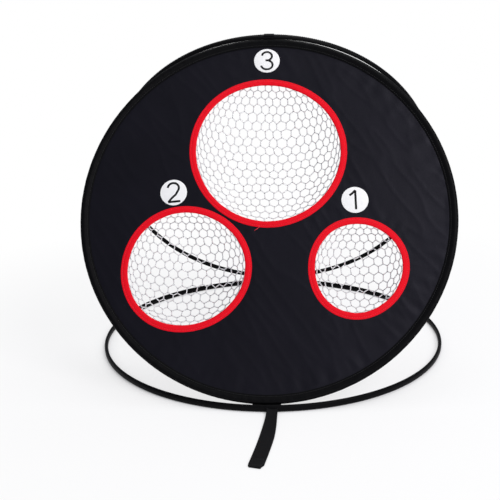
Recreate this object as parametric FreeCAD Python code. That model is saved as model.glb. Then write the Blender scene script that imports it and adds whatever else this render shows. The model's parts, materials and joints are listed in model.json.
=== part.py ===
import FreeCAD
import Part

import math
import os

# Golf chipping net: three sprung steel hoops in fabric sleeves, hinged to each other by
# webbing and tied at the top, with a black target panel and three net pockets on the front
# hoop. Millimetres, Z up, X across, the player stands on the -Y side. The origin is on the
# floor at the centre of the base hoop.

# Round forms are drawn with this many flat sides
ring_sides = 64
target_sides = 48
patch_sides = 32
loop_sides = 24

# Front hoop: the outside of its hem is 560 mm across, a 22 inch net
front_radius = 280.0
hem_width = 13.0
hem_depth = 8.5
hem_corner_across = 4.0
hem_corner_deep = 3.05
panel_thickness = 1.2
panel_tuck = 3.0

# Base and rear hoops, a little larger, so that the front one folds flat inside them
hoop_radius = 287.5
sleeve_width = 6.0
sleeve_height = 10.0
sleeve_flat = 2.6

# Spring steel band in each sleeve, and the crimped ferrule that joins its two ends
band_thickness = 1.2
band_width = 6.5
band_play = 0.6
ferrule_wall = 0.5
ferrule_length = 30.0
band_end_gap = 0.4
front_band_radius = 275.0

# Hinge lines, seen along X
front_hinge_y = -282.25
front_hinge_z = 5.6
rear_hinge_y = hoop_radius
rear_hinge_z = 17.4

# Centre of the rear hoop's top, from the outermost point of the front hem
top_gap_y = 1.5
top_gap_z = 4.65

# Targets, from the panel's centre: across, up the panel, and outer radius of the red binding
targets = {
    "1": (131.5, -85.5, 74.5),
    "2": (-120.0, -86.0, 95.0),
    "3": (-0.8, 94.0, 119.0),
}
binding_width = 10.0
binding_thickness = 3.6
binding_fold = 1.5

# Net pockets behind the targets
pocket_depth = {"1": 62.0, "2": 72.0, "3": 78.0}
pocket_inset = 5.0
pocket_wall = 1.5
pocket_sides = 12
pocket_drop = 0.2
pocket_steps = ((0.0, 1.02), (0.45, 0.92), (0.78, 0.70), (0.95, 0.40), (1.0, 0.12))
pocket_rib = 3.5

# Round white number patches on the panel
patches = {"1": (129.0, 16.5), "2": (-141.5, 29.5), "3": (-3.0, 243.5)}
patch_radius = 20.0
patch_thickness = 0.6

# Webbing
front_tab_width = 40.0
front_tab_thickness = 1.0
tab_sewn_in_front = 1.3
tab_sewn_in_base = 0.8
tab_gap_base = 0.9
tab_gap_front = 0.4
rear_loop_width = 30.0
rear_loop_wall = 1.0
rear_loop_play = 0.8
tie_width = 16.0
tie_thickness = 1.1
tie_overhang = 2.5

# Storage strap: its middle line, from the base sleeve out over the floor
strap_width = 20.0
strap_thickness = 1.6
strap_route = [
    (8.0, -290.3, 4.6),
    (7.6, -297.0, 1.8),
    (7.0, -309.0, 0.9),
    (5.8, -330.0, 0.9),
    (2.6, -362.0, 0.9),
    (-2.6, -396.0, 0.9),
    (-8.6, -430.0, 0.9),
]
strap_hem_length = 22.0
strap_hem_thickness = 1.4
strap_hem_margin = 1.5

half_width = sleeve_width / 2.0
half_height = sleeve_height / 2.0
hem_radius = front_radius - hem_width / 2.0
front_offset = -front_hinge_y
x_axis = FreeCAD.Vector(1, 0, 0)
z_axis = FreeCAD.Vector(0, 0, 1)
origin = FreeCAD.Vector(0, 0, 0)


def vector(x, y, z):
    return FreeCAD.Vector(x, y, z)


def closing_angles():
    # The front hoop, the rear hoop and the floor close a triangle at the top tie
    span_y = rear_hinge_y - top_gap_y - front_hinge_y
    span_z = rear_hinge_z - top_gap_z - front_hinge_z
    span = math.hypot(span_y, span_z)
    lean = math.atan2(span_z, span_y)
    front_reach = front_offset + front_radius
    rear_reach = 2.0 * hoop_radius
    front_cosine = (span**2 + front_reach**2 - rear_reach**2) / (2.0 * span * front_reach)
    rear_cosine = (span**2 + rear_reach**2 - front_reach**2) / (2.0 * span * rear_reach)
    front = math.degrees(lean + math.acos(front_cosine))
    rear = math.degrees(math.acos(rear_cosine) - lean)
    return front, rear


front_angle, rear_angle = closing_angles()


def corner_points(radius, height, sides):
    # The corners of a many-sided ring about the hoop's axis, back to the first one
    turns = [2.0 * math.pi * (side % sides) / sides for side in range(sides + 1)]
    return [vector(radius * math.cos(turn), radius * math.sin(turn), height) for turn in turns]


def flat_face(corners):
    return Part.Face(Part.makePolygon(corners))


def side_faces(before, after):
    # The flat faces between two rings of corners
    pairs = zip(zip(before, before[1:]), zip(after, after[1:]))
    return [flat_face([a, b, d, c, a]) for (a, b), (c, d) in pairs]


def closed_solid(faces):
    solid = Part.Solid(Part.Shell(faces))
    if solid.Volume < 0:
        solid.reverse()
    return solid


def turned(outline, sides=ring_sides):
    # A closed outline in radius and height, carried round the axis in flat steps
    rings = [corner_points(radius, height, sides) for radius, height in outline]
    faces = []
    for index, ring in enumerate(rings):
        if outline[index][1] == outline[index - 1][1]:
            narrow, wide = sorted((ring, rings[index - 1]), key=lambda corners: corners[0].x)
            faces += flat_face(wide).cut(flat_face(narrow)).Faces
        else:
            faces += side_faces(rings[index - 1], ring)
    return closed_solid(faces)


def disc(radius, low, high, sides=ring_sides):
    return flat_face(corner_points(radius, low, sides)).extrude(vector(0, 0, high - low))


def rectangle(inner, outer, low, high):
    return [(inner, low), (outer, low), (outer, high), (inner, high)]


def eight_sided(radius, across, deep, cut_across, cut_deep):
    # A flattened tube's section: a rectangle with its four corners cut off
    return [
        (radius + across, -deep + cut_deep),
        (radius + across, deep - cut_deep),
        (radius + across - cut_across, deep),
        (radius - across + cut_across, deep),
        (radius - across, deep - cut_deep),
        (radius - across, -deep + cut_deep),
        (radius - across + cut_across, -deep),
        (radius + across - cut_across, -deep),
    ]


def six_sided(radius, across, deep, flat):
    # A narrow sleeve's section: widest at the middle, with a flat above and below
    return [
        (radius + across, 0.0),
        (radius + flat, deep),
        (radius - flat, deep),
        (radius - across, 0.0),
        (radius - flat, -deep),
        (radius + flat, -deep),
    ]


def on_base(shape):
    shape.translate(vector(0, 0, half_height))
    return shape


def on_front(shape):
    # The front hoop is drawn flat about its centre, its face up, and tilted about its hinge
    turn = FreeCAD.Placement(
        vector(0, front_hinge_y, front_hinge_z), FreeCAD.Rotation(x_axis, front_angle)
    )
    middle = FreeCAD.Placement(vector(0, front_offset, 0), FreeCAD.Rotation())
    shape.Placement = turn * middle * shape.Placement
    return shape


def on_rear(shape):
    turn = FreeCAD.Placement(
        vector(0, rear_hinge_y, rear_hinge_z), FreeCAD.Rotation(x_axis, 180.0 - rear_angle)
    )
    middle = FreeCAD.Placement(vector(0, hoop_radius, 0), FreeCAD.Rotation())
    shape.Placement = turn * middle * shape.Placement
    return shape


def band_section(radius, grow_across=0.0, grow_deep=0.0):
    across = band_thickness / 2.0 + grow_across
    deep = band_width / 2.0 + grow_deep
    return rectangle(radius - across, radius + across, -deep, deep)


def spring_band(radius):
    # The band's ends meet on the +X side, inside the ferrule
    band = turned(band_section(radius))
    gap = Part.makeBox(20.0, band_end_gap, 20.0, vector(radius - 10.0, -band_end_gap / 2.0, -10.0))
    return band.cut(gap)


def ferrule_block(radius):
    block = turned(band_section(radius, ferrule_wall, ferrule_wall))
    corner = vector(0, -ferrule_length / 2.0, -sleeve_height)
    return block.common(Part.makeBox(2.0 * radius, ferrule_length, 2.0 * sleeve_height, corner))


def ferrule(radius):
    return ferrule_block(radius).cut(turned(band_section(radius)))


def band_cavity(radius):
    # The sprung band presses outwards, so its play is on the inside
    inner = radius - band_thickness / 2.0 - band_play
    outer = radius + band_thickness / 2.0
    deep = band_width / 2.0 + band_play / 2.0
    return turned(rectangle(inner, outer, -deep, deep)).fuse(ferrule_block(radius))


def sleeve_envelope(grow=0.0):
    section = (half_width + grow, half_height + grow, (sleeve_flat + grow) / 2.0)
    return turned(six_sided(hoop_radius, *section))


def sleeve():
    return sleeve_envelope().cut(band_cavity(hoop_radius))


def hem_envelope():
    section = (hem_width / 2.0, hem_depth / 2.0, hem_corner_across, hem_corner_deep)
    return turned(eight_sided(hem_radius, *section))


def panel_blank():
    radius = front_radius - hem_width + panel_tuck
    return disc(radius, -panel_thickness / 2.0, panel_thickness / 2.0)


def front_tab():
    # Sewn into the hem's outer seam, down to the hinge line
    near = -front_radius + tab_sewn_in_front
    far = front_hinge_y + tab_gap_front
    size = (front_tab_width, near - far, front_tab_thickness)
    corner = vector(-front_tab_width / 2.0, far, -front_tab_thickness / 2.0)
    return Part.makeBox(*size, corner)


def base_tab():
    # The same strip of webbing on the other side of the hinge line, sewn into the base sleeve
    near = front_hinge_y - tab_gap_base
    far = -hoop_radius + half_width - tab_sewn_in_base
    size = (front_tab_width, near - far, front_tab_thickness)
    corner = vector(-front_tab_width / 2.0, far, front_hinge_z - front_tab_thickness / 2.0)
    return Part.makeBox(*size, corner)


def front_panel():
    panel = panel_blank()
    for across, up, radius in targets.values():
        inner = radius - binding_width + binding_fold
        hole = disc(inner, -panel_thickness, panel_thickness, target_sides)
        hole.translate(vector(across, up, 0))
        panel = panel.cut(hole)
    return panel


def front_hem():
    hem = hem_envelope().cut(band_cavity(front_band_radius))
    return hem.cut(panel_blank()).cut(front_tab())


def binding(number):
    # Bias tape folded over the raw edge of the hole, on both faces of the panel
    across, up, radius = targets[number]
    inner = radius - binding_width
    deep = binding_thickness / 2.0
    slot = panel_thickness / 2.0
    outline = [
        (inner, -deep),
        (radius, -deep),
        (radius, -slot),
        (inner + binding_fold, -slot),
        (inner + binding_fold, slot),
        (radius, slot),
        (radius, deep),
        (inner, deep),
    ]
    tape = turned(outline, target_sides)
    tape.translate(vector(across, up, 0))
    return tape


def pocket_rings(number, inwards):
    # The bag's levels from the mouth to the back: many-sided rings that narrow and sink
    across, up, radius = targets[number]
    mouth = -binding_thickness / 2.0
    reach = pocket_depth[number] - inwards
    rings = []
    for share, narrow in pocket_steps:
        back = mouth + inwards if share == 0.0 else mouth - share * reach
        corners = corner_points((radius - pocket_inset) * narrow - inwards, back, pocket_sides)
        middle = vector(across, up - pocket_drop * share * reach, 0)
        rings.append([corner + middle for corner in corners])
    return rings


def pocket_skin(rings):
    faces = [flat_face(rings[0]), flat_face(rings[-1])]
    for before, after in zip(rings, rings[1:]):
        faces += side_faces(before, after)
    return closed_solid(faces)


def mesh_opening(corners):
    # One opening: a facet of the bag drawn in by half a rib, cut square through the wall
    drawn_in = []
    for index, corner in enumerate(corners):
        one_way = (corners[index - 1] - corner).normalize()
        other_way = (corners[(index + 1) % 4] - corner).normalize()
        inset = pocket_rib / 2.0 / one_way.cross(other_way).Length
        drawn_in.append(corner + (one_way + other_way) * inset)
    through = (corners[1] - corners[0]).cross(corners[3] - corners[0]).normalize() * (2.0 * pocket_wall)
    window = flat_face([corner - through for corner in drawn_in + drawn_in[:1]])
    return window.extrude(through * 2.0)


def pocket(number):
    # A net bag with an open mouth and a plain grid of openings
    outer = pocket_rings(number, 0.0)
    wall = pocket_skin(outer).cut(pocket_skin(pocket_rings(number, pocket_wall)))
    openings = []
    for before, after in zip(outer, outer[1:]):
        for side in range(pocket_sides):
            openings.append(mesh_opening([before[side], before[side + 1], after[side + 1], after[side]]))
    return wall.cut(Part.makeCompound(openings))


def number_patch(number):
    across, up = patches[number]
    low = panel_thickness / 2.0
    patch = disc(patch_radius, low, low + patch_thickness, patch_sides)
    patch.translate(vector(across, up, 0))
    return patch


def hinge_rod(radius):
    # A many-sided rod along the rear hinge line
    rod = flat_face(corner_points(radius, 0.0, loop_sides)).extrude(vector(0, 0, rear_loop_width))
    start = vector(-rear_loop_width / 2.0, rear_hinge_y, rear_hinge_z)
    rod.Placement = FreeCAD.Placement(start, FreeCAD.Rotation(vector(0, 1, 0), 90.0))
    return rod


def rear_hinge_loop():
    # A webbing loop sewn over the base sleeve, in which the rear hoop turns
    sink = hoop_radius - math.sqrt(hoop_radius**2 - (rear_loop_width / 2.0) ** 2)
    bore = half_height + sink + rear_loop_play / 2.0
    saddle_half = half_width + rear_loop_wall + sink
    saddle = Part.makeBox(
        rear_loop_width,
        2.0 * saddle_half,
        sleeve_height,
        vector(-rear_loop_width / 2.0, hoop_radius - saddle_half, rear_loop_wall),
    )
    loop = hinge_rod(bore + rear_loop_wall).fuse(saddle).cut(hinge_rod(bore))
    return loop.cut(on_base(sleeve_envelope()))


def top_tie():
    # A short strap over the top of the rear hoop, which ties it to the front hem
    block = Part.makeBox(
        tie_width,
        half_width + tie_thickness,
        half_height + tie_thickness + tie_overhang,
        vector(-tie_width / 2.0, hoop_radius, -half_height - tie_thickness),
    )
    return block.common(sleeve_envelope(tie_thickness)).cut(sleeve_envelope())


def strip(points, width, thickness):
    # A flat strip along a line: one upright rectangle at each point, joined straight
    sections = []
    for index, point in enumerate(points):
        before = points[max(index - 1, 0)]
        after = points[min(index + 1, len(points) - 1)]
        along = (vector(*after) - vector(*before)).normalize()
        side = along.cross(z_axis).normalize() * (width / 2.0)
        rise = side.cross(along).normalize() * (thickness / 2.0)
        middle = vector(*point)
        corners = [middle + side + rise, middle - side + rise, middle - side - rise, middle + side - rise]
        sections.append(Part.makePolygon(corners + corners[:1]))
    return Part.makeLoft(sections, True, True)


def strap():
    return strip(strap_route, strap_width, strap_thickness).cut(on_base(sleeve_envelope()))


def strap_end_hem():
    # The end is turned back over itself and stitched down
    last = vector(*strap_route[-1])
    back = (vector(*strap_route[-2]) - last).normalize()
    lift = vector(0, 0, (strap_thickness + strap_hem_thickness) / 2.0)
    start = last + back * strap_hem_margin + lift
    end = start + back * strap_hem_length
    middle = (start + end) * 0.5
    points = [tuple(start), tuple(middle), tuple(end)]
    return strip(points, strap_width - strap_hem_margin, strap_hem_thickness)


nodes = {
    "base_sleeve": on_base(sleeve()).cut(base_tab()),
    "base_hoop": on_base(spring_band(hoop_radius)),
    "base_ferrule": on_base(ferrule(hoop_radius)),
    "hinge_tab_base": base_tab(),
    "rear_hinge_loop": rear_hinge_loop(),
    "strap": strap(),
    "strap_end_hem": strap_end_hem(),
    "front_panel": on_front(front_panel()),
    "front_hem": on_front(front_hem()),
    "front_hoop": on_front(spring_band(front_band_radius)),
    "front_ferrule": on_front(ferrule(front_band_radius)),
    "hinge_tab_front": on_front(front_tab()),
    "rear_sleeve": on_rear(sleeve()),
    "rear_hoop": on_rear(spring_band(hoop_radius)),
    "rear_ferrule": on_rear(ferrule(hoop_radius)),
    "top_tie": on_rear(top_tie()),
}
for number in targets:
    nodes["binding_" + number] = on_front(binding(number))
    nodes["pocket_" + number] = on_front(pocket(number))
    nodes["number_patch_" + number] = on_front(number_patch(number))

os.makedirs("parts", exist_ok=True)
for name, shape in nodes.items():
    shape.exportStep("parts/" + name + ".step")
    box = shape.BoundBox
    print(
        "%-16s solids %d valid %s volume %.0f mm3, x %.1f %.1f y %.1f %.1f z %.1f %.1f"
        % (
            name,
            len(shape.Solids),
            shape.isValid(),
            shape.Volume,
            box.XMin,
            box.XMax,
            box.YMin,
            box.YMax,
            box.ZMin,
            box.ZMax,
        )
    )

strap_length = sum(math.dist(a, b) for a, b in zip(strap_route, strap_route[1:]))
print("front leans %.3f degrees, rear leans %.3f degrees" % (front_angle, rear_angle))
print("fold ratio %.5f, strap length %.1f mm" % (rear_angle / front_angle, strap_length))
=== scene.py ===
import json
import math

import bmesh
import bpy
from mathutils import Matrix, Vector, noise


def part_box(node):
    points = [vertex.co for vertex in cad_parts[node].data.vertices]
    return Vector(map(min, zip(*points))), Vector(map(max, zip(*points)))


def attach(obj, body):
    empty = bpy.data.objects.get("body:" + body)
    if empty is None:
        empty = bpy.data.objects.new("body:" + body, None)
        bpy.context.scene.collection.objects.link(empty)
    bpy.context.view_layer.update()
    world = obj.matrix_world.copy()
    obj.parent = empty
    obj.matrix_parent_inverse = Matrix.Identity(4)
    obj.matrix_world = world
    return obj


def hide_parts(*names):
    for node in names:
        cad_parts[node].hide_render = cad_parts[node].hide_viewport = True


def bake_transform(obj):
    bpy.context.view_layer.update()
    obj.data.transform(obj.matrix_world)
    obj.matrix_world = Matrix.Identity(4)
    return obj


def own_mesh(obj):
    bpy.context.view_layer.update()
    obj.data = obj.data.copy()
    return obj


# Golf chipping net, dressed on its CAD frame.
# Pieces are drawn in millimetres in the plane of their own hoop: x across, y up the hoop,
# z out towards the player. The hoop's place then carries them into the frame, in metres.

mm = 0.001
fullTurn = 2.0 * math.pi

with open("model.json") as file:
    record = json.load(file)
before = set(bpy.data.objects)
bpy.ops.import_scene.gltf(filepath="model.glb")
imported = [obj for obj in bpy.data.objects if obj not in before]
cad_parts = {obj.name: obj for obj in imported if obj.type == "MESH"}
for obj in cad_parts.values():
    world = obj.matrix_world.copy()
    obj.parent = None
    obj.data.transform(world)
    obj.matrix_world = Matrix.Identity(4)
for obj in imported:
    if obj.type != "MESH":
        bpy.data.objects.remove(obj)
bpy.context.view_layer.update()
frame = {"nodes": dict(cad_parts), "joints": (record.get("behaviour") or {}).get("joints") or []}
nodes = frame["nodes"]
joints = {joint["name"]: joint for joint in frame["joints"]}
scene = bpy.context.scene
print("frame loaded:", len(nodes), "nodes")


# Where the three hoops lie

def hoopPlace(pivot, lean, reach):
    # A hoop drawn flat about its centre, turned up about its hinge line
    turn = Matrix.Translation(pivot) @ Matrix.Rotation(lean, 4, "X")
    return turn @ Matrix.Translation((0, reach, 0)) @ Matrix.Scale(mm, 4)


frontHinge = Vector(joints["front_fold"]["pos_m"])
rearHinge = Vector(joints["rear_fold"]["pos_m"])
frontLean = -math.radians(joints["front_fold"]["range_deg"][0])
rearLean = math.radians(joints["rear_fold"]["range_deg"][1])
sleeveLow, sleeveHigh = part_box("base_sleeve")
basePlace = Matrix.Translation((0, 0, (sleeveLow.z + sleeveHigh.z) / 2)) @ Matrix.Scale(mm, 4)
frontPlace = hoopPlace(frontHinge, frontLean, -frontHinge.y)
rearPlace = hoopPlace(rearHinge, math.pi - rearLean, rearHinge.y)
hoopRadius = rearHinge.y / mm


def localBox(nodeName, place):
    # Lowest and highest corners of a CAD node in the millimetres of its hoop
    back = place.inverted()
    points = [back @ vertex.co for vertex in nodes[nodeName].data.vertices]
    low = Vector([min(point[i] for point in points) for i in range(3)])
    high = Vector([max(point[i] for point in points) for i in range(3)])
    return low, high


targets = {}
for number in "123":
    low, high = localBox("binding_" + number, frontPlace)
    patchLow, patchHigh = localBox("number_patch_" + number, frontPlace)
    bagLow = localBox("pocket_" + number, frontPlace)[0]
    targets[number] = {
        "centre": Vector(((low.x + high.x) / 2, (low.y + high.y) / 2)),
        "radius": (high.x - low.x) / 2,
        "depth": high.z - bagLow.z,
        "patch": Vector(((patchLow.x + patchHigh.x) / 2, (patchLow.y + patchHigh.y) / 2)),
        "patchRadius": (patchHigh.x - patchLow.x) / 2,
        "patchLevels": (patchLow.z, patchHigh.z),
        "tapeHalf": high.z,
    }


# For each hole the height and turn of its oval, then those of its three lobes
uneven = {"1": (1.5, 2.3, 0.9, 0.4), "2": (1.3, 0.5, 1.1, -0.2), "3": (0.9, 5.1, 0.8, 1.1)}


def holeShape(number, turn):
    # How far a hole's edge stands outside its circle: the cloth pulls it into an uneven oval
    oval, ovalTurn, lobes, lobesTurn = uneven[number]
    return oval * math.cos(2 * turn - ovalTurn) + lobes * math.cos(3 * turn - lobesTurn)


# Materials

class Link:
    # A socket that can stand in a formula
    def __init__(self, paint, socket):
        self.paint = paint
        self.socket = socket

    def __add__(self, other):
        return self.paint.maths("ADD", self, other)

    def __sub__(self, other):
        return self.paint.maths("SUBTRACT", self, other)

    def __rsub__(self, other):
        return self.paint.maths("SUBTRACT", other, self)

    def __mul__(self, other):
        return self.paint.maths("MULTIPLY", self, other)

    __radd__ = __add__
    __rmul__ = __mul__


class Paint:
    def __init__(self, name):
        self.material = bpy.data.materials.new(name)
        self.material.use_nodes = True
        self.tree = self.material.node_tree
        self.tree.nodes.clear()

    def node(self, kind, settings, values, output=0):
        made = self.tree.nodes.new("ShaderNode" + kind)
        for key, value in settings.items():
            setattr(made, key, value)
        for key, value in values.items():
            if isinstance(value, Link):
                self.tree.links.new(value.socket, made.inputs[key])
            else:
                made.inputs[key].default_value = value
        return Link(self, made.outputs[output])

    def maths(self, operation, *values):
        return self.node("Math", {"operation": operation}, dict(enumerate(values)))

    def sine(self, value):
        return self.maths("SINE", value)

    def mix(self, factor, first, second):
        return self.node("Mix", {"data_type": "RGBA"}, {0: factor, 6: first, 7: second}, 2)

    def uv(self):
        # Millimetres along and across the cloth
        flat = self.node("UVMap", {"uv_map": "cloth"}, {})
        return self.node("SeparateXYZ", {}, {0: flat}), self.node("SeparateXYZ", {}, {0: flat}, 1)

    def point(self, *stretch):
        # Millimetres in the frame
        place = self.node("TexCoord", {}, {}, 3)
        scale = [s / mm for s in (stretch or (1, 1, 1))]
        return self.node("Mapping", {}, {"Vector": place, "Scale": scale})

    def clothPoint(self, alongScale, acrossScale):
        flat = self.node("UVMap", {"uv_map": "cloth"}, {})
        return self.node("Mapping", {}, {"Vector": flat, "Scale": (alongScale, acrossScale, 1)})

    def noise(self, vector, scale, detail=2.0, roughness=0.5):
        values = {"Vector": vector, "Scale": scale, "Detail": detail, "Roughness": roughness}
        return self.node("TexNoise", {}, values)

    def step(self, value, low, high):
        return self.node("MapRange", {}, {"Value": value, "From Min": low, "From Max": high})

    def bump(self, height, strength, distance, under=None):
        # A relief in millimetres, laid over the one given under it
        values = {"Height": height, "Strength": strength, "Distance": distance * mm}
        if under:
            values["Normal"] = under
        return self.node("Bump", {}, values)

    def finish(self, **looks):
        names = {
            "color": "Base Color", "roughness": "Roughness", "metallic": "Metallic", "normal": "Normal",
            "specular": "Specular IOR Level", "specularTint": "Specular Tint",
            "subsurface": "Subsurface Weight", "subsurfaceDepth": "Subsurface Scale",
            "subsurfaceRadius": "Subsurface Radius",
        }
        shader = self.node("BsdfPrincipled", {}, {names[key]: value for key, value in looks.items()})
        self.close(shader)
        return self.material

    def close(self, shader):
        output = self.tree.nodes.new("ShaderNodeOutputMaterial")
        self.tree.links.new(shader.socket, output.inputs["Surface"])


def color(red, green, blue):
    return (red, green, blue, 1.0)


taffeta = {
    "thread": 0.42, "dark": (0.0014, 0.0014, 0.0024), "pale": (0.0040, 0.0038, 0.0080), "roughness": 0.42,
    "gloss": 0.17, "sheen": (0.86, 0.84, 1.0),
}


def taffetaPaint():
    paint = Paint("taffeta")
    across, up = paint.uv()
    pitch = fullTurn / taffeta["thread"]
    weave = paint.sine(across * pitch) * paint.sine(up * pitch)
    cloud = paint.noise(paint.clothPoint(1, 1), 0.012, 3.0)
    crease = paint.noise(paint.clothPoint(1.0, 0.45), 0.06, 5.0, 0.6)
    slub = paint.noise(paint.clothPoint(0.05, 3.0), 0.9, 2.0)
    shade = paint.mix(cloud * 0.6 + slub * 0.4, color(*taffeta["dark"]), color(*taffeta["pale"]))
    creased = paint.bump(crease, 0.22, 1.2)
    normal = paint.bump(weave, 0.12, 0.05, creased)
    roughness = taffeta["roughness"] + cloud * 0.12 + weave * 0.02
    return paint.finish(color=shade, roughness=roughness, normal=normal, specular=taffeta["gloss"],
                        specularTint=color(*taffeta["sheen"]))


satin = {"rib": 0.5, "dark": (0.0009, 0.0009, 0.0012), "pale": (0.0022, 0.0022, 0.0030), "gloss": 0.07}


def satinPaint():
    paint = Paint("satinBinding")
    along, around = paint.uv()
    twill = paint.sine((along + around) * (fullTurn / satin["rib"]))
    pucker = paint.noise(paint.clothPoint(1.0, 0.25), 0.35, 3.0)
    shade = paint.mix(pucker, color(*satin["dark"]), color(*satin["pale"]))
    ruffled = paint.bump(pucker, 0.4, 0.5)
    normal = paint.bump(twill, 0.15, 0.05, ruffled)
    return paint.finish(color=shade, roughness=0.44 + pucker * 0.16, normal=normal, specular=satin["gloss"])


tape = {"rib": 0.8, "deep": (0.68, 0.0015, 0.009), "bright": (0.90, 0.004, 0.018)}


def tapePaint():
    paint = Paint("redTape")
    along, around = paint.uv()
    ribs = paint.sine(along * (fullTurn / tape["rib"])) * paint.sine(around * (fullTurn / tape["rib"]))
    worn = paint.noise(paint.clothPoint(1.0, 1.0), 0.16, 4.0, 0.6)
    shade = paint.mix(worn * 0.8 + ribs * 0.06 + 0.1, color(*tape["deep"]), color(*tape["bright"]))
    normal = paint.bump(ribs + worn * 2.0, 0.25, 0.12)
    return paint.finish(color=shade, roughness=0.52 + worn * 0.16, normal=normal, specular=0.1)


netting = {
    "twist": 1.1, "shadow": (0.95, 0.945, 0.965), "thread": (0.98, 0.975, 0.985), "glow": 0.85, "depth": 4.0,
}


def nettingPaint():
    paint = Paint("whiteNetting")
    place = paint.point()
    fibre = paint.noise(place, 1.0 / netting["twist"], 3.0, 0.7)
    soiled = paint.noise(place, 0.03, 2.0)
    shade = paint.mix(fibre * 0.5 + soiled * 0.5, color(*netting["shadow"]), color(*netting["thread"]))
    normal = paint.bump(fibre, 0.5, 0.2)
    return paint.finish(color=shade, roughness=0.55 + fibre * 0.2, normal=normal, specular=0.3,
                        subsurface=netting["glow"], subsurfaceDepth=netting["depth"] * mm,
                        subsurfaceRadius=(1.0, 1.0, 1.0))


inks = {
    "white": (0.93, 0.93, 0.925), "shade": (0.88, 0.88, 0.875), "weave": 0.6,
    "ink": (0.004, 0.004, 0.005), "inkPale": (0.010, 0.010, 0.011),
}


def patchPaint():
    paint = Paint("patchCloth")
    across, up = paint.uv()
    pitch = fullTurn / inks["weave"]
    weave = paint.sine(across * pitch) * paint.sine(up * pitch)
    cloud = paint.noise(paint.clothPoint(1, 1), 0.15, 3.0)
    shade = paint.mix(cloud, color(*inks["shade"]), color(*inks["white"]))
    return paint.finish(color=shade, roughness=0.5 + cloud * 0.1, normal=paint.bump(weave, 0.15, 0.06))


def inkPaint():
    paint = Paint("printedInk")
    grain = paint.noise(paint.point(), 0.8, 2.0)
    shade = paint.mix(grain, color(*inks["ink"]), color(*inks["inkPale"]))
    normal = paint.bump(grain, 0.1, 0.05)
    return paint.finish(color=shade, roughness=0.5 + grain * 0.15, normal=normal, specular=0.15)


webbing = {"rib": 1.25, "yarn": 0.8, "dark": (0.0022, 0.0022, 0.0026), "pale": (0.0070, 0.0070, 0.0084)}


def webbingPaint():
    paint = Paint("blackWebbing")
    along, across = paint.uv()
    ribs = paint.sine(along * (fullTurn / webbing["rib"]))
    yarns = paint.sine(across * (fullTurn / webbing["yarn"]) + ribs * 1.4)
    fuzz = paint.noise(paint.clothPoint(1, 1), 0.8, 3.0)
    height = ribs * 0.6 + yarns * 0.4 + fuzz * 0.5
    shade = paint.mix(height * 0.35 + 0.4, color(*webbing["dark"]), color(*webbing["pale"]))
    return paint.finish(color=shade, roughness=0.66 + fuzz * 0.2, normal=paint.bump(height, 0.55, 0.22),
                        specular=0.16)


def threadPaint(name, dark, pale):
    paint = Paint(name)
    fibre = paint.noise(paint.point(), 2.2, 2.0)
    shade = paint.mix(fibre, color(*dark), color(*pale))
    return paint.finish(color=shade, roughness=0.5 + fibre * 0.2, normal=paint.bump(fibre, 0.4, 0.1))


def steelPaint(name, dark, pale, roughness):
    paint = Paint(name)
    drawn = paint.noise(paint.point(0.05, 0.05, 2.0), 1.2, 3.0)
    stain = paint.noise(paint.point(), 0.06, 3.0)
    shade = paint.mix(drawn * 0.5 + stain * 0.5, color(*dark), color(*pale))
    return paint.finish(color=shade, metallic=1.0, roughness=roughness + drawn * 0.15,
                        normal=paint.bump(drawn, 0.2, 0.05))


materials = {
    "taffeta": taffetaPaint(),
    "satin": satinPaint(),
    "tape": tapePaint(),
    "netting": nettingPaint(),
    "patch": patchPaint(),
    "ink": inkPaint(),
    "webbing": webbingPaint(),
    "blackThread": threadPaint("blackThread", (0.004, 0.004, 0.005), (0.012, 0.012, 0.014)),
    # The red thread keeps its own red, made paler than the tape's as a painted highlight along each binding's
    # stitched groove
    "redThread": threadPaint("redThread", (0.74, 0.006, 0.020), (0.95, 0.04, 0.07)),
    "springSteel": steelPaint("springSteel", (0.10, 0.11, 0.14), (0.30, 0.31, 0.34), 0.3),
    "ferruleSteel": steelPaint("ferruleSteel", (0.42, 0.42, 0.42), (0.62, 0.62, 0.62), 0.35),
}
print("materials:", len(materials))


# Tools for the pieces

def wrapped(value, near, period):
    # The same angle or length, written as the turn that lies nearest to another
    return near + (value - near + period / 2) % period - period / 2


def layRingUv(bm, radius, sectionRadius):
    # Cloth on a ring: millimetres along the ring, and round its section
    layer = bm.loops.layers.uv.new("cloth")
    for face in bm.faces:
        middle = face.calc_center_median()
        middleTurn = math.atan2(middle.y, middle.x)
        middleRoll = math.atan2(middle.z, math.hypot(middle.x, middle.y) - radius)
        for loop in face.loops:
            point = loop.vert.co
            turn = wrapped(math.atan2(point.y, point.x), middleTurn, fullTurn)
            roll = wrapped(math.atan2(point.z, math.hypot(point.x, point.y) - radius), middleRoll, fullTurn)
            loop[layer].uv = (turn * radius, roll * sectionRadius)


def layFlatUv(bm):
    layer = bm.loops.layers.uv.new("cloth")
    for face in bm.faces:
        for loop in face.loops:
            loop[layer].uv = loop.vert.co.xy


def makeObject(name, bm, material, place):
    bm.transform(place)
    bm.normal_update()
    mesh = bpy.data.meshes.new(name)
    bm.to_mesh(mesh)
    bm.free()
    mesh.materials.append(materials[material])
    mesh.shade_smooth()
    obj = bpy.data.objects.new(name, mesh)
    scene.collection.objects.link(obj)
    return obj


def addPiece(name, bm, material, place, body, replaced=()):
    obj = makeObject(name, bm, material, place)
    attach(obj, body)
    if replaced:
        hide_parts(*replaced)
    return obj


def spunRing(outline, steps):
    # A closed outline in radius and height, spun about the hoop's axis
    bm = bmesh.new()
    corners = [bm.verts.new((radius, 0, height)) for radius, height in outline]
    edges = [bm.edges.new((corners[i - 1], corners[i])) for i in range(len(corners))]
    bmesh.ops.spin(bm, geom=corners + edges, axis=(0, 0, 1), cent=(0, 0, 0), dvec=(0, 0, 0),
                   angle=fullTurn, steps=steps, use_merge=True, use_duplicate=False)
    bmesh.ops.remove_doubles(bm, verts=bm.verts, dist=0.001)
    bmesh.ops.recalc_face_normals(bm, faces=bm.faces)
    return bm


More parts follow.
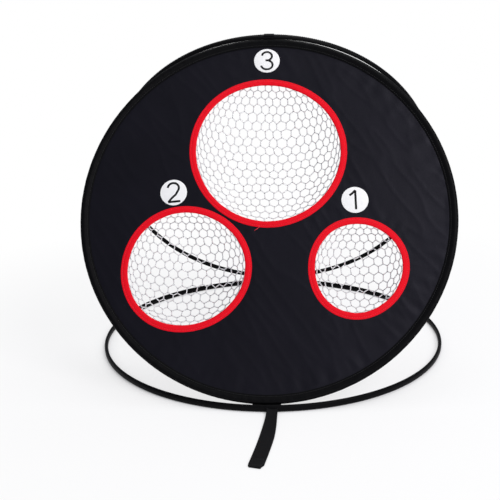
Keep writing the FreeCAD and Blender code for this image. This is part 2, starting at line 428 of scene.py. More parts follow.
def softOutline(radius, halfWidth, halfDepth, corners, squareness):
    # A rounded rectangle: a circle whose sine and cosine are drawn out to the corners
    outline = []
    for index in range(corners):
        turn = fullTurn * (index + 0.5) / corners
        side, rise = math.cos(turn), math.sin(turn)
        outline.append((
            radius + halfWidth * math.copysign(abs(side) ** squareness, side),
            halfDepth * math.copysign(abs(rise) ** squareness, rise),
        ))
    return outline


def ringNoise(turn, frequency, seed):
    # Smooth noise that closes on itself round a ring
    return noise.noise(Vector((math.cos(turn) * frequency, math.sin(turn) * frequency, seed)))


def smoothStep(value, low, high):
    share = min(max((value - low) / (high - low), 0.0), 1.0)
    return share * share * (3 - 2 * share)


def sweep(stations, halfWidth, halfDepth, corners, squareness):
    # A flat band along stations, each a matrix whose x is the band's side and y its face
    bm = bmesh.new()
    layer = bm.verts.layers.float_vector.new("place")
    rings = []
    along = 0.0
    for index, station in enumerate(stations):
        if index:
            along += (station.translation - stations[index - 1].translation).length
        atEnd = index in (0, len(stations) - 1)
        ring = bmesh.ops.create_circle(bm, cap_ends=atEnd, segments=corners, radius=1.0)
        for vertex in ring["verts"]:
            side, rise = vertex.co.x, vertex.co.y
            flat = Vector((halfWidth * math.copysign(abs(side) ** squareness, side),
                           halfDepth * math.copysign(abs(rise) ** squareness, rise), 0))
            vertex[layer] = (along, flat.x + (0 if rise > 0 else 2.0 * halfWidth), 0)
            vertex.co = station @ flat
        rings.append(list(dict.fromkeys(edge for vertex in ring["verts"] for edge in vertex.link_edges)))
    for before, after in zip(rings, rings[1:]):
        bmesh.ops.bridge_loops(bm, edges=before + after)
    bmesh.ops.recalc_face_normals(bm, faces=bm.faces)
    uv = bm.loops.layers.uv.new("cloth")
    for face in bm.faces:
        for loop in face.loops:
            loop[uv].uv = loop.vert[layer][:2]
    return bm


def stationsAlong(points, side):
    # Matrices along a line, with the band's side held to one direction
    stations = []
    for index, point in enumerate(points):
        before = points[max(index - 1, 0)]
        after = points[min(index + 1, len(points) - 1)]
        along = (after - before).normalized()
        across = (side - along * side.dot(along)).normalized()
        rise = along.cross(across)
        turn = Matrix((across, rise, along)).transposed().to_4x4()
        stations.append(Matrix.Translation(point) @ turn)
    return stations


def smoothLine(points, spacing):
    # Points read evenly from the smooth curve that a few points steer
    curve = bpy.data.curves.new("line", "CURVE")
    curve.dimensions = "3D"
    curve.resolution_u = 24
    spline = curve.splines.new("NURBS")
    spline.points.add(len(points) - 1)
    for control, point in zip(spline.points, points):
        control.co = (*point, 1.0)
    spline.order_u = 3
    spline.use_endpoint_u = True
    holder = bpy.data.objects.new("line", curve)
    mesh = bpy.data.meshes.new_from_object(holder)
    read = [vertex.co.copy() for vertex in mesh.vertices]
    bpy.data.objects.remove(holder)
    bpy.data.curves.remove(curve)
    bpy.data.meshes.remove(mesh)
    kept = [read[0]]
    for point in read[1:-1]:
        if (point - kept[-1]).length >= spacing:
            kept.append(point)
    return kept + [read[-1]]


stitch = {"length": 2.6, "pitch": 3.3, "thickness": 0.55, "sides": 6, "rings": 4}


def addStitch(bm, place):
    scale = Matrix.Diagonal((stitch["length"] / 2, stitch["thickness"] / 2, stitch["thickness"] / 2, 1))
    bmesh.ops.create_uvsphere(bm, u_segments=stitch["sides"], v_segments=stitch["rings"], radius=1.0,
                              matrix=place @ scale)


def stitchRing(radius, heights, centre=(0, 0), wander=0.0, seed=0.0, hole=None):
    # One stitch at each height, spun as copies all round a circle
    bm = bmesh.new()
    for height in heights:
        addStitch(bm, Matrix.Translation((radius, 0, height)) @ Matrix.Rotation(math.pi / 2, 4, "Z"))
    count = int(fullTurn * radius / stitch["pitch"])
    bmesh.ops.spin(bm, geom=bm.verts[:] + bm.edges[:] + bm.faces[:], axis=(0, 0, 1), cent=(0, 0, 0),
                   dvec=(0, 0, 0), angle=fullTurn * (count - 1) / count, steps=count - 1, use_duplicate=True)
    for vertex in bm.verts:
        turn = math.atan2(vertex.co.y, vertex.co.x)
        move = wander * ringNoise(turn, 3.0, seed) + (holeShape(hole, turn) if hole else 0.0)
        vertex.co.xy *= 1.0 + move / radius
        vertex.co.xy += Vector(centre)
    return bm


# Front panel: one sheet of black taffeta with three holes, sewn into the hem

panel = {
    "grid": 2.4, "edge": 269.5, "holeEdge": 8.6, "thickness": 1.0, "flatEdge": 268.0,
    "pucker": 1.35, "puckerReach": 46.0, "puckerCount": 17.0,
    "holePucker": 0.55, "holeReach": 22.0, "holeCount": 9.0,
    "crease": 0.7, "creaseSize": 58.0, "creaseShort": 0.42, "creaseLong": 1.9, "creaseSlant": 0.75,
    "ridge": 0.55, "soft": 0.6, "rimEase": 7.0, "holeEase": 6.0, "patchEase": 8.0, "seed": 4.7,
}


def panelLift(across, up):
    # How far the cloth stands off its plane: rim puckers, puckers at the holes, soft creases
    radius = math.hypot(across, up)
    turn = math.atan2(up, across)
    room = smoothStep(panel["flatEdge"] - radius, 0.0, panel["rimEase"])
    fade = 1.0 - smoothStep(panel["flatEdge"] - radius, 0.0, panel["puckerReach"])
    slack = 0.55 + 0.45 * math.cos(turn + 0.55)
    rim = ringNoise(turn, panel["puckerCount"], panel["seed"] + radius * 0.004)
    rim *= fade * slack * panel["pucker"]
    holes = 0.0
    for key, target in targets.items():
        spot = Vector((across, up))
        away = spot - target["centre"]
        awayTurn = math.atan2(away.y, away.x)
        gap = away.length - target["radius"] - holeShape(key, awayTurn)
        room *= smoothStep(gap, 0.0, panel["holeEase"])
        room *= smoothStep((spot - target["patch"]).length - target["patchRadius"], 0.0, panel["patchEase"])
        near = 1.0 - smoothStep(gap, 0.0, panel["holeReach"])
        holes += ringNoise(awayTurn, panel["holeCount"], 2.0 + float(key)) * near
    size, lean = panel["creaseSize"], panel["creaseSlant"]
    slant = Vector(((across + lean * up) / (size * panel["creaseShort"]),
                    (up - lean * across) / (size * panel["creaseLong"]), panel["seed"]))
    ridge = 1.0 - abs(noise.noise(slant)) * 2.2
    soft = noise.noise(Vector((across / size, up / size, panel["seed"] + 3.0)))
    crease = (max(ridge, 0.0) ** 3 * panel["ridge"] + soft * panel["soft"]) * panel["crease"]
    return room * (rim + holes * panel["holePucker"] + crease)


def buildPanel():
    count = int(2 * panel["edge"] / panel["grid"]) + 2
    bm = bmesh.new()
    half = count * panel["grid"] / 2
    bmesh.ops.create_grid(bm, x_segments=count, y_segments=count, size=half)
    circles = [(Vector((0, 0)), panel["edge"], None)]
    circles += [(t["centre"], t["radius"] - panel["holeEdge"], key) for key, t in targets.items()]

    def gapTo(point, centre, radius, key):
        # Outwards from a circle, the holes' circles being uneven
        away = point.xy - centre
        return away.length - radius - (holeShape(key, math.atan2(away.y, away.x)) if key else 0.0)

    def outside(point):
        return any(gapTo(point, *circle) * (-1 if circle[2] else 1) > 0 for circle in circles)

    waste = [face for face in bm.faces if outside(face.calc_center_median())]
    bmesh.ops.delete(bm, geom=waste, context="FACES")
    for vertex in [v for v in bm.verts if v.is_boundary]:
        gaps = [(gapTo(vertex.co, *circle), circle[0]) for circle in circles]
        gap, centre = min(gaps, key=lambda pair: abs(pair[0]))
        vertex.co.xy -= (vertex.co.xy - centre).normalized() * gap
    bmesh.ops.recalc_face_normals(bm, faces=bm.faces)
    layFlatUv(bm)
    for vertex in bm.verts:
        vertex.co.z = panelLift(vertex.co.x, vertex.co.y)
    if sum(face.normal.z for face in bm.faces) < 0:
        bmesh.ops.reverse_faces(bm, faces=bm.faces)
    obj = addPiece("panelCloth", bm, "taffeta", frontPlace, "front", ["front_panel"])
    wall = obj.modifiers.new("cloth", "SOLIDIFY")
    wall.thickness = panel["thickness"] * mm
    wall.offset = 0.0
    holes = sum((target["radius"] - panel["holeEdge"]) ** 2 for target in targets.values())
    cut = math.pi * (panel["edge"] ** 2 - holes)
    cut * mm * mm


# Front hem: a satin band folded over the hoop and over the panel's edge

hemHigh = localBox("front_hem", frontPlace)[1]
hem = {
    "radius": hemHigh.x, "width": 13.0, "bulge": hemHigh.z, "bulgeAt": 0.34, "lip": 1.25, "edge": 1.1,
    "shoulderAt": 0.62, "half": 12, "steps": 720, "pucker": 0.2, "puckerCount": 46.0, "fineCount": 110.0,
    "slack": 0.11, "ferrule": (0.07, 0.12), "snug": 0.46, "snugFrom": (0.62, 0.78),
    "stitchInset": 2.2, "stitchLift": 0.75,
}


def hemOutline():
    # From the inner lip over the bulge round the hoop to the outer edge, and back underneath
    upper = []
    for index in range(hem["half"] + 1):
        share = index / hem["half"]
        rise = math.sin(math.pi * min(share ** hem["bulgeAt"] * 0.5 + share * 0.5, 1.0) * 0.5)
        past = max(share - hem["shoulderAt"], 0.0) / (1.0 - hem["shoulderAt"])
        shoulder = math.sqrt(max(1.0 - past ** 2, 0.0))
        height = hem["lip"] + (hem["bulge"] - hem["lip"]) * smoothStep(share, 0.0, 0.6)
        height *= shoulder * rise ** 0.2
        upper.append((hem["radius"] - hem["width"] * (1.0 - share), height))
    upper[0] = (upper[0][0], hem["lip"])
    upper = [point for point in upper if point[1] > hem["edge"]] + [(hem["radius"], hem["edge"])]
    lower = [(radius, -height) for radius, height in reversed(upper)]
    return upper + lower


def buildHem():
    bm = spunRing(hemOutline(), hem["steps"])
    layRingUv(bm, hem["radius"] - hem["width"] / 2, hem["bulge"])
    inner = hem["radius"] - hem["width"]
    for vertex in bm.verts:
        turn = math.atan2(vertex.co.y, vertex.co.x)
        reach = vertex.co.xy.length
        across = (reach - inner) / hem["width"]
        gather = 4.0 * across * (1.0 - across)
        fold = ringNoise(turn, hem["puckerCount"], 1.0 + across * 0.8)
        fold += 0.5 * ringNoise(turn, hem["fineCount"], 7.0)
        # full over the ferrule, which lies at the right
        slack = hem["slack"] * gather * smoothStep(abs(turn), *hem["ferrule"])
        vertex.co.z *= 1.0 - slack + slack * fold
        inward = hem["pucker"] * (fold - 0.6) * smoothStep(across, 0.4, 1.0)
        inward += 0.5 * hem["pucker"] * fold * (1.0 - smoothStep(across, 0.0, 0.3))
        # close against the rear sleeve at the top
        atTop = smoothStep(math.sin(turn), *hem["snugFrom"])
        snug = hem["snug"] * smoothStep(across, 0.8, 1.0) * (1.0 if vertex.co.z > 0 else 0.0)
        vertex.co.xy *= (reach + min(inward, 0.0) * (1.0 - atTop) + snug * atTop) / reach
    addPiece("frontHem", bm, "satin", frontPlace, "front", ["front_hem"])
    level = hem["lip"] + hem["stitchLift"]
    seam = stitchRing(inner + hem["stitchInset"], (level, -level), wander=0.25, seed=3.0)
    addPiece("frontHemStitches", seam, "blackThread", frontPlace, "front")


# Base and rear sleeves: narrow satin tubes round their spring bands, closed by a seam

sleeveTop = localBox("base_sleeve", basePlace)[1]
sleeve = {
    "halfWidth": sleeveTop.x - hoopRadius, "halfHeight": sleeveTop.z, "ease": 0.1, "corners": 20,
    "squareness": 0.97, "steps": 600, "seamHeight": -2.9, "seamHalf": 0.9, "seamDepth": 0.35,
    "pucker": 0.22, "puckerCount": 52.0, "swayCount": 9.0, "flatFoot": 4.2, "smoothFrom": (0.55, 0.75),
    "stitchInset": 0.55,
}


def buildSleeve(name, place, body, replaced, seed):
    outline = softOutline(hoopRadius, sleeve["halfWidth"] + sleeve["ease"], sleeve["halfHeight"],
                          sleeve["corners"], sleeve["squareness"])
    bm = spunRing(outline, sleeve["steps"])
    layRingUv(bm, hoopRadius, (sleeve["halfWidth"] + sleeve["halfHeight"]) / 2)
    for vertex in bm.verts:
        turn = math.atan2(vertex.co.y, vertex.co.x)
        reach = vertex.co.xy.length
        side = (reach - hoopRadius) / sleeve["halfWidth"]
        fold = ringNoise(turn, sleeve["puckerCount"], seed + side * 0.5)
        fold += 0.6 * ringNoise(turn, sleeve["swayCount"], seed + 5.0)
        loose = 1.0 - smoothStep(abs(vertex.co.z), sleeve["flatFoot"], sleeve["halfHeight"])
        loose *= 1.0 - smoothStep(math.sin(turn), *sleeve["smoothFrom"])
        nearSeam = math.exp(-((vertex.co.z - sleeve["seamHeight"]) / sleeve["seamHalf"]) ** 2)
        move = sleeve["pucker"] * (fold * 0.5 - 0.5) * loose - nearSeam * sleeve["seamDepth"]
        vertex.co.xy *= (reach + move * math.copysign(1.0, side)) / reach
    addPiece(name, bm, "satin", place, body, replaced)
    outer = hoopRadius + sleeve["halfWidth"] - sleeve["stitchInset"]
    seam = stitchRing(outer, (sleeve["seamHeight"],), seed=seed)
    addPiece(name + "Stitches", seam, "blackThread", place, body)


# Red bindings: bias tape folded over the raw edge of each hole, with a stitched groove

binding = {
    "width": 10.0, "steps": 360, "edge": 0.95, "grooveAt": 0.72, "groove": 0.5, "crown": 0.55,
    "wander": 0.6, "joinAt": {"1": 3.6, "2": 3.75, "3": 3.45}, "joinLift": 0.35, "joinHalf": 0.045,
    "tail": {"3": 4.62}, "tailLevel": 1.3, "tailHalf": 0.32,
    "tailRoute": ((0, 0, 0), (-2, -3.5, 0.5), (-4.5, -5.0, 0.7), (-8, -7.5, 0.5)),
}


def bindingOutline(target):
    # Across the tape from the fold at the hole to its stitched outer edge, on both faces
    half = target["tapeHalf"]
    inner = target["radius"] - binding["width"]
    upper = []
    for index in range(15):
        share = index / 14
        fold = math.sqrt(max(1.0 - (1.0 - min(share / 0.2, 1.0)) ** 2, 0.0))
        groove = binding["groove"] * math.exp(-((share - binding["grooveAt"]) / 0.07) ** 2)
        crown = binding["crown"] * math.sin(math.pi * share)
        slope = (half - binding["crown"]) * (1.0 - 0.28 * share)
        upper.append((inner + binding["width"] * share, (slope + crown - groove) * fold))
    upper.append((target["radius"], binding["edge"] * 0.72))
    lower = [(radius, -height) for radius, height in reversed(upper)]
    return upper + lower[:-1]


def buildBinding(number):
    target = targets[number]
    bm = spunRing(bindingOutline(target), binding["steps"])
    middle = target["radius"] - binding["width"] / 2
    layRingUv(bm, middle, target["tapeHalf"] * 1.8)
    seed = float(number) * 1.7
    join = binding["joinAt"][number]
    for vertex in bm.verts:
        turn = math.atan2(vertex.co.y, vertex.co.x)
        reach = vertex.co.xy.length
        inside = smoothStep(target["radius"] - reach, 0.5, binding["width"] * 0.8)
        pull = binding["wander"] * (ringNoise(turn, 1.9, seed) + 0.4 * ringNoise(turn, 7.0, seed + 2.0))
        ruck = 1.0 + 0.05 * ringNoise(turn, 26.0, seed + 4.0)
        near = wrapped(turn, join, fullTurn) - join
        lap = smoothStep(near, -binding["joinHalf"], -binding["joinHalf"] + 0.008)
        lap *= 1.0 - smoothStep(near, 0.0, binding["joinHalf"])
        lift = binding["joinLift"] * lap if abs(vertex.co.z) > 0.4 else 0.0
        vertex.co.z = vertex.co.z * ruck + math.copysign(lift, vertex.co.z)
        vertex.co.xy *= (reach + holeShape(number, turn) + min(pull, 0.45) * (0.35 + 0.65 * inside)) / reach
    centre = Matrix.Translation(target["centre"].to_3d())
    bmesh.ops.transform(bm, matrix=centre, verts=bm.verts)
    name = "binding" + number
    addPiece(name, bm, "tape", frontPlace, "front", ["binding_" + number])
    groove = target["radius"] - binding["width"] * (1.0 - binding["grooveAt"])
    level = (target["tapeHalf"] - binding["crown"]) * 0.80 + 0.12
    seam = stitchRing(groove, (level, -level), target["centre"], hole=number)
    addPiece(name + "Stitches", seam, "redThread", frontPlace, "front")
    if number in binding["tail"]:
        turn = binding["tail"][number]
        outwards = Vector((math.cos(turn), math.sin(turn), 0))
        root = target["centre"].to_3d() + outwards * (target["radius"] - 2.0)
        root.z = binding["tailLevel"]
        line = [root + Vector(step) for step in binding["tailRoute"]]
        half = binding["tailHalf"]
        thread = sweep(stationsAlong(smoothLine(line, 0.8), Vector((0, 0, 1))), half, half, 6, 1.0)
        addPiece(name + "ThreadTail", thread, "redThread", frontPlace, "front")


# Net pockets: knotless hexagonal netting gathered into the binding, hanging back as a slack bag

pocket = {
    "cell": 14.5, "thread": 1.7, "drift": 1.5, "driftScale": 0.09, "inset": 6.0, "mouth": 1.2,
    "drop": 0.2, "slack": 3.2, "back": 1.5,
    "curve": ((0.0, 1.0), (0.30, 0.965), (0.55, 0.86), (0.78, 0.70),
              (0.90, 0.55), (0.97, 0.38), (1.0, 0.0)),
    "steps": 4,
}


def bagProfile(radius, depth):
    # Length along the bag's wall from the middle of its back, against radius and depth
    wall = [Vector((radius * narrow, 0, -depth * share)) for share, narrow in pocket["curve"]]
    points = smoothLine(wall, 1.0)
    points.reverse()
    table = [(0.0, points[0].x, points[0].z)]
    for before, after in zip(points, points[1:]):
        table.append((table[-1][0] + (after - before).length, after.x, after.z))
    return table


def readTable(table, length):
    for before, after in zip(table, table[1:]):
        if length <= after[0]:
            share = (length - before[0]) / max(after[0] - before[0], 1e-9)
            return [b + (a - b) * share for b, a in zip(before[1:], after[1:])]
    return list(table[-1][1:])


def hexagonNet(reach):
    # A brick pattern made from a grid by dissolving every other upright, then pulled into hexagons
    cell = pocket["cell"]
    columns = 2 * int(reach / cell + 2)
    rows = 2 * int(reach / (cell * 0.866) + 2)
    bm = bmesh.new()
    bmesh.ops.create_grid(bm, x_segments=columns * 2, y_segments=rows, size=1.0)
    spots = {}
    for vertex in bm.verts:
        spots[vertex] = (round((vertex.co.x + 1) * columns), round((vertex.co.y + 1) * rows / 2))
    uprights = []
    for edge in bm.edges:
        (i, j), (k, l) = (spots[vertex] for vertex in edge.verts)
        if i == k and (i + min(j, l)) % 2:
            uprights.append(edge)
    for vertex, (i, j) in spots.items():
        lift = 0.25 if (i + j) % 2 == 0 else -0.25
        vertex.co = ((i - columns) * cell / 2, (j - rows / 2) * cell * 0.866 + lift * cell * 0.577, 0)
        spot = vertex.co * pocket["driftScale"]
        drift = [noise.noise(spot + Vector((7 * axis, 0, 5))) for axis in range(2)]
        vertex.co.xy += Vector(drift) * pocket["drift"]
    bmesh.ops.dissolve_edges(bm, edges=uprights, use_verts=False, use_face_split=False)
    return bm


def bagPoint(flat, number, table, depth):
    # A point of the flat net, carried on to the slack bag behind its target
    target = targets[number]
    seed = 11.0 + float(number)
    turn = math.atan2(flat.y, flat.x)
    radius, back = readTable(table, flat.length)
    share = -back / depth
    radius += holeShape(number, turn) * radius / (target["radius"] - pocket["inset"])
    wave = Vector([noise.noise(flat * 0.03 + Vector((9 * axis, 0, seed))) for axis in range(3)])
    point = Vector((target["centre"].x + radius * math.cos(turn),
                    target["centre"].y + radius * math.sin(turn) - pocket["drop"] * share * depth,
                    back - pocket["mouth"])) + wave * pocket["slack"] * share
    point.z = max(point.z, -depth - target["tapeHalf"])
    return point


def buildPocket(number):
    target = targets[number]
    mouth = target["radius"] - pocket["inset"]
    depth = target["depth"] - target["tapeHalf"] - pocket["back"]
    table = bagProfile(mouth, depth)
    reach = table[-1][0]
    net = hexagonNet(reach)
    curve = bpy.data.curves.new("threads", "CURVE")
    curve.dimensions = "3D"
    curve.bevel_depth = pocket["thread"] / 2
    curve.bevel_resolution = 0
    curve.use_fill_caps = True
    for edge in net.edges:
        first, last = (vertex.co for vertex in edge.verts)
        line = [first.lerp(last, step / pocket["steps"]) for step in range(pocket["steps"] + 1)]
        line = [point for point in line if point.length <= reach]
        if len(line) < 2:
            continue
        spline = curve.splines.new("POLY")
        spline.points.add(len(line) - 1)
        for control, point in zip(spline.points, line):
            control.co = (*bagPoint(point, number, table, depth), 1.0)
    net.free()
    holder = bpy.data.objects.new("threads", curve)
    mesh = bpy.data.meshes.new_from_object(holder)
    bm = bmesh.new()
    bm.from_mesh(mesh)
    bpy.data.objects.remove(holder)
    bpy.data.curves.remove(curve)
    bpy.data.meshes.remove(mesh)
    count = len(bm.faces)
    obj = addPiece("netPocket" + number, bm, "netting", frontPlace, "front",
                   ["pocket_" + number])
    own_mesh(obj)
    return count


# Number patches: printed white discs with plain figures in light strokes

figures = {
    "width": 19.5, "height": 29.5, "stroke": 3.2, "ink": 0.18, "bevel": 0.25, "sides": 72,
    "turn": {"1": 0.03, "2": 0.10, "3": 0.0},
}


def arc(centre, radiusX, radiusY, start, end, count=18):
    # Points on part of an ellipse, with its angles in degrees
    turns = [math.radians(start + (end - start) * i / count) for i in range(count + 1)]
    return [(centre[0] + radiusX * math.cos(t), centre[1] + radiusY * math.sin(t)) for t in turns]


def figureStrokes(number):
    # Each stroke's middle line, in shares of the figure's half width and half height
    if number == "1":
        return [[(-0.80, 0.48), (-0.30, 0.72), (0.10, 1.0)], [(0.10, 1.0), (0.10, -1.0)]]
    if number == "2":
        bowl = arc((0.0, 0.47), 0.86, 0.53, 172, -28)
        return [bowl + [(0.30, -0.25), (-0.40, -0.62), (-0.88, -0.98)], [(-0.94, -0.98), (0.94, -0.98)]]
    upper = arc((0.0, 0.52), 0.80, 0.48, 172, -90)
    lower = arc((0.0, -0.48), 0.92, 0.52, 90, -170)
    return [[(-0.22, 0.04)] + upper[-1:], upper, lower]


def strokeRibbon(bm, points, width, level, height):
    # A flat printed line: two rows of points joined across, then given the ink's thickness
    pairs = []
    for index, point in enumerate(points):
        along = (points[min(index + 1, len(points) - 1)] - points[max(index - 1, 0)]).normalized()
        side = Vector((-along.y, along.x)) * width / 2
        pairs.append([bm.verts.new((*(point + side), level)), bm.verts.new((*(point - side), level))])
    faces = [bm.faces.new((a[0], a[1], b[1], b[0])) for a, b in zip(pairs, pairs[1:])]
    raised = bmesh.ops.extrude_face_region(bm, geom=faces)
    moved = [item for item in raised["geom"] if isinstance(item, bmesh.types.BMVert)]
    bmesh.ops.translate(bm, verts=moved, vec=(0, 0, height))


def buildPatch(number):
    target = targets[number]
    low, high = target["patchLevels"]
    bm = bmesh.new()
    bmesh.ops.create_cone(bm, cap_ends=True, segments=figures["sides"], radius1=target["patchRadius"],
                          radius2=target["patchRadius"], depth=high - low)
    rim = [edge for edge in bm.edges if all(vertex.co.z > 0 for vertex in edge.verts)]
    bmesh.ops.bevel(bm, geom=rim, offset=figures["bevel"], segments=3, profile=0.5, affect="EDGES",
                    material=-1)
    centre = Vector((*target["patch"], (low + high) / 2))
    bmesh.ops.translate(bm, verts=bm.verts, vec=centre)
    layFlatUv(bm)
    obj = addPiece("numberPatch" + number, bm, "patch", frontPlace, "front",
                   ["number_patch_" + number])
    obj.data.set_sharp_from_angle(angle=math.radians(40))
    ink = bmesh.new()
    half = Vector((figures["width"] / 2, figures["height"] / 2))
    turn = Matrix.Rotation(figures["turn"][number], 2)
    for stroke in figureStrokes(number):
        points = [target["patch"] + turn @ Vector((x * half.x, y * half.y)) for x, y in stroke]
        strokeRibbon(ink, points, figures["stroke"], high - 0.05, figures["ink"])
    bmesh.ops.recalc_face_normals(ink, faces=ink.faces)
    digit = addPiece("numberFigure" + number, ink, "ink", frontPlace, "front")
    digit.data.set_sharp_from_angle(angle=math.radians(40))


# Storage strap: black webbing sewn to the base sleeve, its end turned back and stitched

strap = {
    "width": 20.0, "thickness": 1.5, "hem": 22.0, "hemThickness": 1.4, "spacing": 3.0, "length": 0.141,
    "gather": 0.22, "gatherReach": 75.0, "cup": 2.2, "corner": 6.0, "wear": 0.3,
    "route": [
        (8.0, -290.3, 4.6), (7.6, -297.0, 1.8), (7.0, -309.0, 0.9), (5.8, -330.0, 0.9),
        (2.6, -362.0, 0.9), (-2.6, -396.0, 0.9), (-8.6, -430.0, 0.9),
    ],
}
toMetres = Matrix.Scale(mm, 4)


def shapeStrap(bm, line):
    # Gathered and cupped where it leaves the sleeve, its corners worn round at the far end
    for vertex in bm.verts:
        centre = min(line, key=lambda point: abs(point.y - vertex.co.y)).x
        offset = vertex.co.x - centre
        along = line[0].y - vertex.co.y
        gathered = 1.0 - smoothStep(along, 0.0, strap["gatherReach"])
        worn = 1.0 - smoothStep(vertex.co.y - line[-1].y, -1.0, strap["corner"])
        vertex.co.x = centre + offset * (1.0 - strap["gather"] * gathered - strap["wear"] * worn)
        vertex.co.z += strap["cup"] * gathered * (2.0 * offset / strap["width"]) ** 2


def buildStrap():
    line = smoothLine([Vector(point) for point in strap["route"]], strap["spacing"])
    stations = stationsAlong(line, Vector((1, 0, 0)))
    bm = sweep(stations, strap["width"] / 2, strap["thickness"] / 2, 20, 0.35)
    shapeStrap(bm, line)
    ribbon = addPiece("storageStrap", bm, "webbing", toMetres, "base", ["strap"])
    back = [point for point in reversed(line) if (point - line[-1]).length < strap["hem"]]
    lift = Vector((0, 0, (strap["thickness"] + strap["hemThickness"]) / 2 - 0.05))
    folded = sweep(stationsAlong([point + lift for point in back], Vector((1, 0, 0))),
                   strap["width"] / 2 - 0.8, strap["hemThickness"] / 2, 20, 0.35)
    shapeStrap(folded, line)
    fold = addPiece("strapEnd", folded, "webbing", toMetres, "base", ["strap_end_hem"])
    seam = bmesh.new()
    ends = [back[1] + lift, back[-2] + lift]
    for end in ends:
        for index in range(5):
            spot = end + Vector(((index - 2) * stitch["pitch"], 0, strap["hemThickness"] / 2))
            addStitch(seam, Matrix.Translation(spot) @ Matrix.Rotation(0.17, 4, "Z"))
    stitches = addPiece("strapStitches", seam, "blackThread", toMetres, "base")
    [list(point * mm) for point in line]


# Webbing at the hinges and at the top

tabs = {
    "width": 40.0, "thickness": 1.0, "inBase": (-285.6, -284.2, -283.0), "inHem": (-281.6, -280.4, -279.2),
    "loopWidth": 30.0, "loopWall": 1.0, "saddleGap": 1.2, "tieWidth": 16.0, "tieThickness": 1.1,
}


def buildHingeStrip():
    # From the base sleeve over the fold line on to the hem, bent at the fold line
    pivot = frontHinge / mm
    inHem = [frontPlace @ Vector((0, up, 0)) / mm for up in tabs["inHem"]]
    points = [Vector((0, along, pivot.z)) for along in tabs["inBase"]] + [pivot] + inHem
    stations = stationsAlong(smoothLine(points, 0.5), Vector((1, 0, 0)))
    bm = sweep(stations, tabs["width"] / 2, tabs["thickness"] / 2, 20, 0.3)
    obj = makeObject("hingeStrip", bm, "webbing", toMetres)
    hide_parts("hinge_tab_base", "hinge_tab_front")
    points[1] * mm
    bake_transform(obj)


def buildRearLoop():
    # A closed webbing loop that holds the rear sleeve down on the base sleeve
    low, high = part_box("rear_hinge_loop")
    outer = (high.y - low.y) / 2 / mm
    pivot = rearHinge / mm
    bottom = low.z / mm
    inside = outer - tabs["loopWall"] / 2 - 0.1
    saddle = sleeve["halfWidth"] + tabs["saddleGap"]
    points = [Vector((0, pivot.y + inside * math.cos(t), pivot.z + inside * math.sin(t)))
              for t in [math.radians(-42 + 264 * i / 30) for i in range(31)]]
    points += [Vector((0, pivot.y - saddle, bottom + 7.0)), Vector((0, pivot.y - saddle, bottom + 1.2))]
    points.insert(0, Vector((0, pivot.y + saddle, bottom + 7.0)))
    points.insert(0, Vector((0, pivot.y + saddle, bottom + 1.2)))
    bm = sweep(stationsAlong(points, Vector((1, 0, 0))), tabs["loopWidth"] / 2, tabs["loopWall"] / 2, 20, 0.3)
    addPiece("rearHingeLoop", bm, "webbing", toMetres, "base", ["rear_hinge_loop"])


def buildTopTie():
    # Round the back and the top of the rear sleeve, close against it
    half = tabs["tieThickness"] / 2
    turns = [math.radians(-86 + 112 * i / 16) for i in range(17)]
    points = [Vector((0, hoopRadius + (sleeve["halfWidth"] + half) * math.cos(t),
                      (sleeve["halfHeight"] + half) * math.sin(t))) for t in turns]
    bm = sweep(stationsAlong(points, Vector((1, 0, 0))), tabs["tieWidth"] / 2, half, 20, 0.3)
    addPiece("topTie", bm, "webbing", rearPlace, "rear", ["top_tie"])


def dressSteel():
    for nodeName, obj in nodes.items():
        if nodeName.endswith("_hoop"):
            obj.data.materials.clear()
            obj.data.materials.append(materials["springSteel"])
        if nodeName.endswith("_ferrule"):
            obj.data.materials.clear()
            obj.data.materials.append(materials["ferruleSteel"])


# Stage: white floor that keeps a soft shadow, soft lamps, and the photographed view

view = {
    "target": (0, 0, 170), "elevation": 14.6, "yaw": 2.0, "roll": -0.7, "distance": 1250,
    "focal": 731.0, "centre": (271.8, 240.9), "picture": 500.0,
}
stage = {
    "floor": (0.92, 0.92, 0.93), "whiteShare": 0.72, "fade": (0.28, 0.9), "contactShadowReach": 18.0,
    "world": (0.90, 0.92, 1.0), "worldStrength": 0.38, "size": 30.0,
}
lamps = {
    "key": {
        "at": (1.5, -1.6, 1.9), "aim": (0.05, 0, 0.2), "size": 1.3, "power": 36.0, "color": (1.0, 0.98, 1.0),
    },
    "fill": {
        "at": (0.3, -2.4, 0.12), "aim": (0, 0, 0.25), "size": 0.5, "power": 6.5, "color": (0.98, 0.98, 1.0),
    },
    "top": {"at": (0.2, 0.5, 2.3), "aim": (0, 0, 0), "size": 1.8, "power": 22.0, "color": (1.0, 1.0, 1.0)},
}


def buildCamera():
    elevation, yaw, roll = (math.radians(view[key]) for key in ("elevation", "yaw", "roll"))
    level = math.cos(elevation)
    back = Vector((math.sin(yaw) * level, -math.cos(yaw) * level, math.sin(elevation)))
    right = Vector((math.cos(yaw), math.sin(yaw), 0))
    up = back.cross(right)
    rightRolled = right * math.cos(roll) + up * math.sin(roll)
    upRolled = up * math.cos(roll) - right * math.sin(roll)
    data = bpy.data.cameras.new("view")
    data.sensor_width = 36.0
    data.sensor_fit = "HORIZONTAL"
    data.lens = view["focal"] / view["picture"] * data.sensor_width
    data.shift_x = (view["picture"] / 2 - view["centre"][0]) / view["picture"]
    data.shift_y = (view["centre"][1] - view["picture"] / 2) / view["picture"]
    data.clip_end = 50.0
    camera = bpy.data.objects.new("view", data)
    turn = Matrix((rightRolled, upRolled, back)).transposed().to_4x4()
    spot = Vector(view["target"]) * mm + back * view["distance"] * mm
    camera.matrix_world = Matrix.Translation(spot) @ turn
    scene.collection.objects.link(camera)
    scene.camera = camera


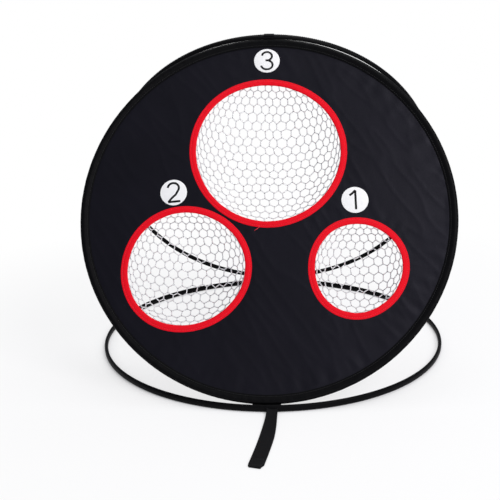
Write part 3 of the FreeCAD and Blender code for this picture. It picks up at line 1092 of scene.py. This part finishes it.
def buildFloor():
    paint = Paint("paleFloor")
    rays = [paint.node("LightPath", {}, {}, name) for name in
            ("Is Camera Ray", "Is Glossy Ray", "Is Transmission Ray")]
    seen = paint.maths("MINIMUM", rays[0] + rays[1] + rays[2], 1.0)
    matt = paint.node("BsdfDiffuse", {}, {"Color": color(*stage["floor"])})
    white = paint.node("Emission", {}, {"Color": color(1, 1, 1), "Strength": 1.0})
    place = paint.node("NewGeometry", {}, {})
    away = paint.step(paint.node("VectorMath", {"operation": "LENGTH"}, {0: place}, 1), *stage["fade"])
    # Painted contact shadow: the floor's white glow is cut back where ambient occlusion finds parts within
    # this reach, so the floor darkens under and between them
    contactShade = paint.node("AmbientOcclusion", {"samples": 8}, {"Distance": stage["contactShadowReach"] * mm}, 1)
    share = contactShade * (away * (1.0 - stage["whiteShare"]) + stage["whiteShare"])
    paint.close(paint.node("MixShader", {}, {0: seen * share, 1: matt, 2: white}))
    bm = bmesh.new()
    bmesh.ops.create_grid(bm, x_segments=1, y_segments=1, size=stage["size"])
    mesh = bpy.data.meshes.new("floor")
    bm.to_mesh(mesh)
    bm.free()
    mesh.materials.append(paint.material)
    floor = bpy.data.objects.new("floor", mesh)
    scene.collection.objects.link(floor)


def buildWorld():
    world = bpy.data.worlds.new("studio")
    world.use_nodes = True
    scene.world = world
    tree = world.node_tree
    tree.nodes.clear()
    path = tree.nodes.new("ShaderNodeLightPath")
    soft = tree.nodes.new("ShaderNodeBackground")
    soft.inputs["Color"].default_value = color(*stage["world"])
    soft.inputs["Strength"].default_value = stage["worldStrength"]
    white = tree.nodes.new("ShaderNodeBackground")
    white.inputs["Color"].default_value = color(1, 1, 1)
    mixed = tree.nodes.new("ShaderNodeMixShader")
    output = tree.nodes.new("ShaderNodeOutputWorld")
    tree.links.new(path.outputs["Is Camera Ray"], mixed.inputs[0])
    tree.links.new(soft.outputs[0], mixed.inputs[1])
    tree.links.new(white.outputs[0], mixed.inputs[2])
    tree.links.new(mixed.outputs[0], output.inputs["Surface"])


def buildLamps():
    for name, lamp in lamps.items():
        data = bpy.data.lights.new(name, "AREA")
        data.shape = "DISK"
        data.size = lamp["size"]
        data.energy = lamp["power"]
        data.color = lamp["color"]
        obj = bpy.data.objects.new(name, data)
        obj.location = lamp["at"]
        obj.rotation_euler = (Vector(lamp["aim"]) - Vector(lamp["at"])).to_track_quat("-Z", "Y").to_euler()
        scene.collection.objects.link(obj)


buildCamera()
buildHem()
buildPanel()
print("front panel and hem")
buildSleeve("baseSleeve", basePlace, "base", ["base_sleeve"], 21.0)
buildSleeve("rearSleeve", rearPlace, "rear", ["rear_sleeve"], 33.0)
print("base and rear sleeves")
for number in targets:
    buildBinding(number)
    buildPatch(number)
    print("target", number, "net faces", buildPocket(number))
buildStrap()
buildHingeStrip()
buildRearLoop()
buildTopTie()
dressSteel()
print("webbing and steel")
buildFloor()
buildWorld()
buildLamps()
scene.view_settings.view_transform = "Standard"
